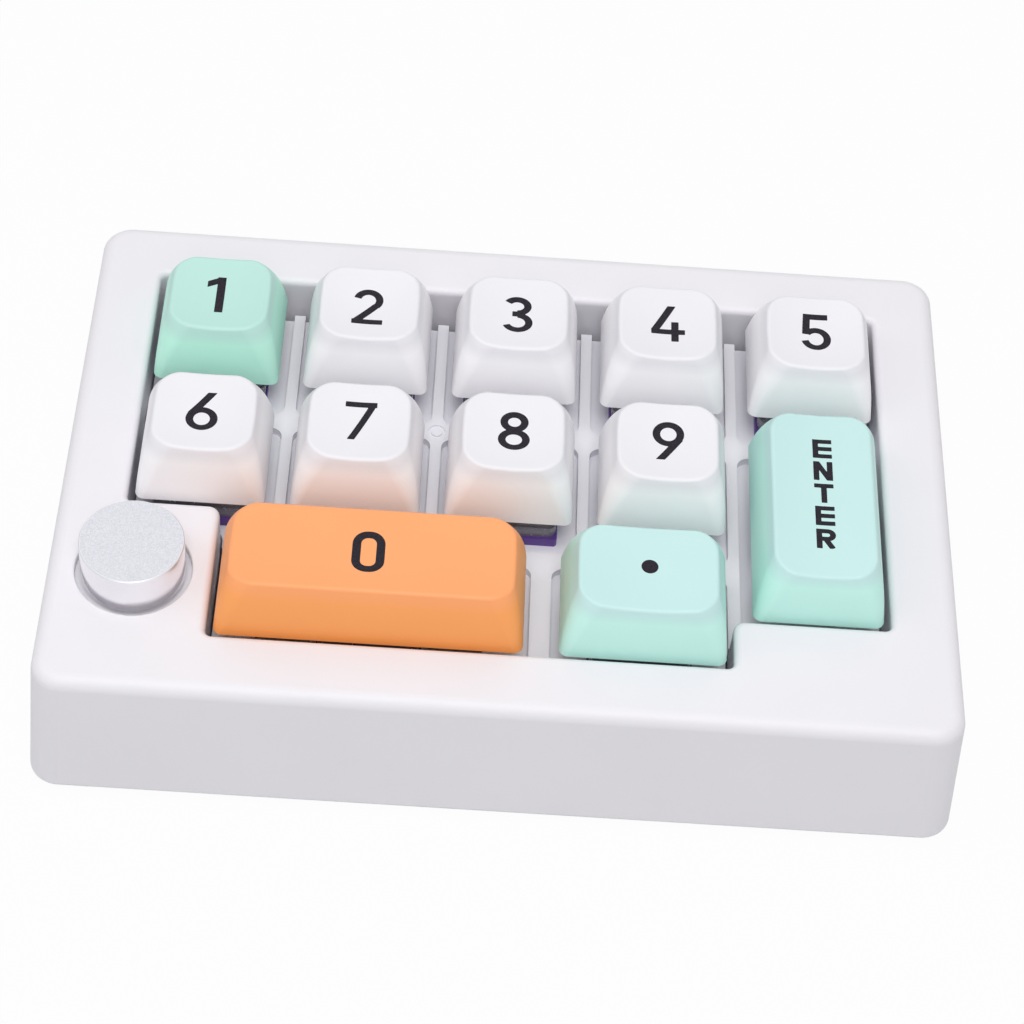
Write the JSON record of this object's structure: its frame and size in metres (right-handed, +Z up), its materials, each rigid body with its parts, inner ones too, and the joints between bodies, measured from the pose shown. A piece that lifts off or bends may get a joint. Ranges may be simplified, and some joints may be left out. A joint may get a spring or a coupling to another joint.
{
  "type": "one-handed keypad",
  "caption": "Small desk keypad in a thick white case: sprung number keys on mechanical switches, and a metal knob that turns and presses.",
  "frame": {"origin": "on the desk under the middle of the case's box", "axes": "+X to the user's right along the long side, +Y away from the user, +Z up"},
  "size_m": [0.1274, 0.0889, 0.0303],
  "materials": {
    "case_white": "fine spark-eroded matte white plastic",
    "plate_white": "matte white plastic",
    "cap_white": "fine-grained white keycap plastic",
    "cap_mint": "fine-grained mint keycap plastic",
    "cap_orange": "fine-grained orange keycap plastic",
    "switch_purple": "moulded purple nylon",
    "switch_smoke": "clear smoky polycarbonate",
    "stem_dark": "dark slick acetal",
    "black_plastic": "black moulded plastic",
    "board_green": "solder-masked circuit board",
    "contact_brass": "stamped copper alloy",
    "steel": "plated steel",
    "knob_silver": "bead-blasted aluminium with a turned rim",
    "foot_rubber": "soft silicone rubber"
  },
  "bodies": {
    "base": {"top_shell": "case_white", "bottom_cover": "case_white", "case_screws": "steel", "plate_screws": "steel", "rubber_feet": "foot_rubber", "switch_plate": "plate_white", "circuit_board": "board_green", "controller_chip": "black_plastic", "diodes": "black_plastic", "usb_shell": "steel", "usb_tongue": "black_plastic", "switch_bases": "switch_purple", "switch_lids": "switch_smoke", "switch_contacts": "contact_brass", "switch_sockets": "black_plastic", "stabiliser_housings": "black_plastic", "encoder_base": "black_plastic", "encoder_bushing": "steel", "spring_1": "steel", "spring_2": "steel", "spring_3": "steel", "spring_4": "steel", "spring_5": "steel", "spring_6": "steel", "spring_7": "steel", "spring_8": "steel", "spring_9": "steel", "spring_0": "steel", "spring_dot": "steel", "spring_enter": "steel"},
    "key_1": {"keycap_1": "cap_mint", "stem_1": "stem_dark"},
    "key_2": {"keycap_2": "cap_white", "stem_2": "stem_dark"},
    "key_3": {"keycap_3": "cap_white", "stem_3": "stem_dark"},
    "key_4": {"keycap_4": "cap_white", "stem_4": "stem_dark"},
    "key_5": {"keycap_5": "cap_white", "stem_5": "stem_dark"},
    "key_6": {"keycap_6": "cap_white", "stem_6": "stem_dark"},
    "key_7": {"keycap_7": "cap_white", "stem_7": "stem_dark"},
    "key_8": {"keycap_8": "cap_white", "stem_8": "stem_dark"},
    "key_9": {"keycap_9": "cap_white", "stem_9": "stem_dark"},
    "key_0": {"keycap_0": "cap_orange", "stem_0": "stem_dark", "stabiliser_sliders": "stem_dark"},
    "key_dot": {"keycap_dot": "cap_mint", "stem_dot": "stem_dark"},
    "key_enter": {"keycap_enter": "cap_mint", "stem_enter": "stem_dark"},
    "stabiliser_bar": {"stabiliser_wire": "steel"},
    "knob_turn_body": {"encoder_rotor": "black_plastic"},
    "knob_push_body": {"knob": "knob_silver", "knob_core": "black_plastic", "encoder_shaft": "steel"}
  },
  "joints": [
    {"name": "key_1_press", "type": "slide", "parent": "base", "child": "key_1", "axis": [0, 0, -1], "range_m": [0, 0.004], "stiffness_N_per_m": 75, "springref_m": -0.004, "deforming": ["spring_1"]},
    {"name": "key_2_press", "type": "slide", "parent": "base", "child": "key_2", "axis": [0, 0, -1], "range_m": [0, 0.004], "stiffness_N_per_m": 75, "springref_m": -0.004, "deforming": ["spring_2"]},
    {"name": "key_3_press", "type": "slide", "parent": "base", "child": "key_3", "axis": [0, 0, -1], "range_m": [0, 0.004], "stiffness_N_per_m": 75, "springref_m": -0.004, "deforming": ["spring_3"]},
    {"name": "key_4_press", "type": "slide", "parent": "base", "child": "key_4", "axis": [0, 0, -1], "range_m": [0, 0.004], "stiffness_N_per_m": 75, "springref_m": -0.004, "deforming": ["spring_4"]},
    {"name": "key_5_press", "type": "slide", "parent": "base", "child": "key_5", "axis": [0, 0, -1], "range_m": [0, 0.004], "stiffness_N_per_m": 75, "springref_m": -0.004, "deforming": ["spring_5"]},
    {"name": "key_6_press", "type": "slide", "parent": "base", "child": "key_6", "axis": [0, 0, -1], "range_m": [0, 0.004], "stiffness_N_per_m": 75, "springref_m": -0.004, "deforming": ["spring_6"]},
    {"name": "key_7_press", "type": "slide", "parent": "base", "child": "key_7", "axis": [0, 0, -1], "range_m": [0, 0.004], "stiffness_N_per_m": 75, "springref_m": -0.004, "deforming": ["spring_7"]},
    {"name": "key_8_press", "type": "slide", "parent": "base", "child": "key_8", "axis": [0, 0, -1], "range_m": [0, 0.004], "stiffness_N_per_m": 75, "springref_m": -0.004, "deforming": ["spring_8"]},
    {"name": "key_9_press", "type": "slide", "parent": "base", "child": "key_9", "axis": [0, 0, -1], "range_m": [0, 0.004], "stiffness_N_per_m": 75, "springref_m": -0.004, "deforming": ["spring_9"]},
    {"name": "key_0_press", "type": "slide", "parent": "base", "child": "key_0", "axis": [0, 0, -1], "range_m": [0, 0.004], "stiffness_N_per_m": 75, "springref_m": -0.004, "deforming": ["spring_0"]},
    {"name": "key_dot_press", "type": "slide", "parent": "base", "child": "key_dot", "axis": [0, 0, -1], "range_m": [0, 0.004], "stiffness_N_per_m": 75, "springref_m": -0.004, "deforming": ["spring_dot"]},
    {"name": "key_enter_press", "type": "slide", "parent": "base", "child": "key_enter", "axis": [0, 0, -1], "range_m": [0, 0.004], "stiffness_N_per_m": 75, "springref_m": -0.004, "deforming": ["spring_enter"]},
    {"name": "stabiliser_swing", "type": "hinge", "parent": "base", "child": "stabiliser_bar", "pos_m": [-0.01817, -0.0141, 0.01395], "axis": [1, 0, 0], "range_deg": [0, 28.1]},
    {"name": "knob_turn", "type": "hinge", "parent": "base", "child": "knob_turn_body", "pos_m": [-0.05078, -0.0221, 0.022], "axis": [0, 0, 1], "continuous": true},
    {"name": "knob_push", "type": "slide", "parent": "knob_turn_body", "child": "knob_push_body", "axis": [0, 0, -1], "range_m": [0, 0.0005], "stiffness_N_per_m": 3000, "springref_m": -0.0005}
  ],
  "couplings": [
    {"joint": "stabiliser_swing", "follows": "key_0_press", "rad_per_m": 114.25}
  ]
}
